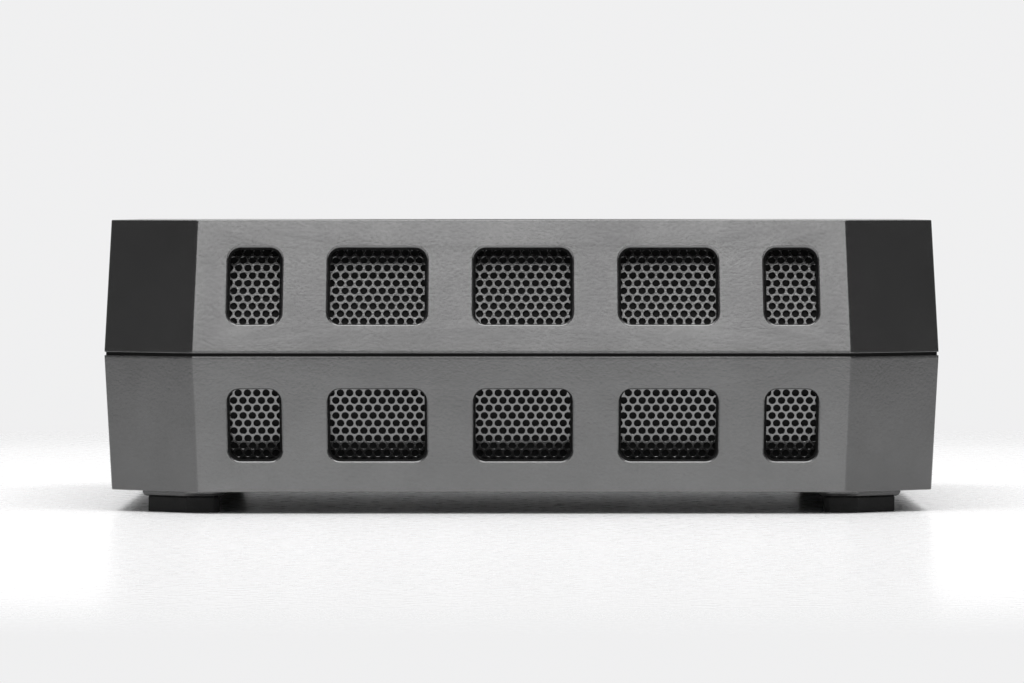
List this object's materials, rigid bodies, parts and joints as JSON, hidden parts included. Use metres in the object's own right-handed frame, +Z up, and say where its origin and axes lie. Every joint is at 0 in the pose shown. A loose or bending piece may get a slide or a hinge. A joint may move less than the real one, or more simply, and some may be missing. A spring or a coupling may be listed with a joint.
{
  "type": "mini pc",
  "caption": "Low eight-sided mini computer with two tapered shells, windowed mesh vents, corner feet, fan, and sockets at front and rear.",
  "frame": {"origin": "middle of the footprint, on the surface that the feet stand on", "axes": "+Z up, -Y is the front with the power button, +Y is the rear with the sockets, +X is the right side"},
  "size_m": [0.188, 0.1772, 0.0618],
  "materials": {
    "shell_paint": "dark grey satin paint with fine grain",
    "band_black": "matt black",
    "grille_black": "black satin paint",
    "sheet_paint": "dark grey satin paint",
    "foot_rubber": "matt black",
    "zinc_steel": "zinc plated",
    "black_steel": "black oxide",
    "brass": "turned",
    "bezel_plastic": "gloss black",
    "button_plastic": "satin dark grey",
    "light_pipe": "milky light pipe",
    "black_plastic": "moulded",
    "connector_steel": "nickel plated",
    "circuit_board": "solder mask",
    "ceramic": "epoxy package",
    "copper": "bare copper",
    "black_copper": "copper with a black coating",
    "black_aluminium": "black anodised",
    "cable_jacket": "smooth sleeve",
    "cell_steel": "pressed steel can",
    "ferrite": "pressed ferrite",
    "plate_steel": "stamped steel",
    "reset_plastic": "moulded"
  },
  "bodies": {
    "case": {"lower_shell": "shell_paint", "upper_shell": "shell_paint", "waist_band": "band_black", "fan_grille": "grille_black", "side_mesh_upper_left": "sheet_paint", "side_mesh_upper_right": "sheet_paint", "side_mesh_lower_left": "sheet_paint", "side_mesh_lower_right": "sheet_paint", "front_mesh": "sheet_paint", "rear_mesh": "sheet_paint", "foot_brackets": "shell_paint", "rubber_feet": "foot_rubber", "case_screws": "black_steel", "case_inserts": "brass", "front_bezel": "bezel_plastic", "power_light_ring": "light_pipe", "tact_switches": "black_plastic", "front_io_board": "circuit_board", "front_usb_left": "connector_steel", "front_usb_right": "connector_steel", "front_usb_c": "connector_steel", "audio_jack": "black_plastic", "front_cable": "cable_jacket", "motherboard": "circuit_board", "board_standoffs": "brass", "board_screws": "zinc_steel", "processor": "ceramic", "cold_plate": "copper", "heat_pipes": "black_copper", "fin_stack": "black_aluminium", "cooler_screws": "zinc_steel", "cooler_springs": "zinc_steel", "fan_frame": "black_plastic", "fan_stator": "copper", "fan_bearing": "brass", "fan_screws": "black_steel", "fan_lead": "cable_jacket", "memory_socket_left": "black_plastic", "memory_socket_right": "black_plastic", "memory_module_left": "circuit_board", "memory_module_right": "circuit_board", "card_sockets": "black_plastic", "solid_state_drive": "circuit_board", "radio_card": "circuit_board", "antennas": "brass", "antenna_leads": "cable_jacket", "coin_cell_holder": "black_plastic", "coin_cell": "cell_steel", "chipset_heatsink": "black_aluminium", "inductors": "ferrite", "capacitors": "black_aluminium", "rear_io_plate": "plate_steel", "dc_inlet": "black_plastic", "video_sockets": "connector_steel", "ethernet_sockets": "connector_steel", "rear_usb_sockets": "connector_steel"},
    "power_button": {"power_button": "button_plastic"},
    "reset_button": {"reset_button": "reset_plastic"},
    "fan": {"fan_rotor": "black_plastic", "fan_shaft": "zinc_steel"}
  },
  "joints": [
    {"name": "power_button_press", "type": "slide", "parent": "case", "child": "power_button", "axis": [0, 1, 0], "range_m": [0, 0.0006], "stiffness_N_per_m": 2500, "springref_m": -0.0004},
    {"name": "reset_button_press", "type": "slide", "parent": "case", "child": "reset_button", "axis": [0, -1, 0], "range_m": [0, 0.0003], "stiffness_N_per_m": 3000, "springref_m": -0.0004},
    {"name": "fan_spin", "type": "hinge", "parent": "case", "child": "fan", "pos_m": [0, 0, 0.049], "axis": [0, 0, 1], "continuous": true}
  ]
}
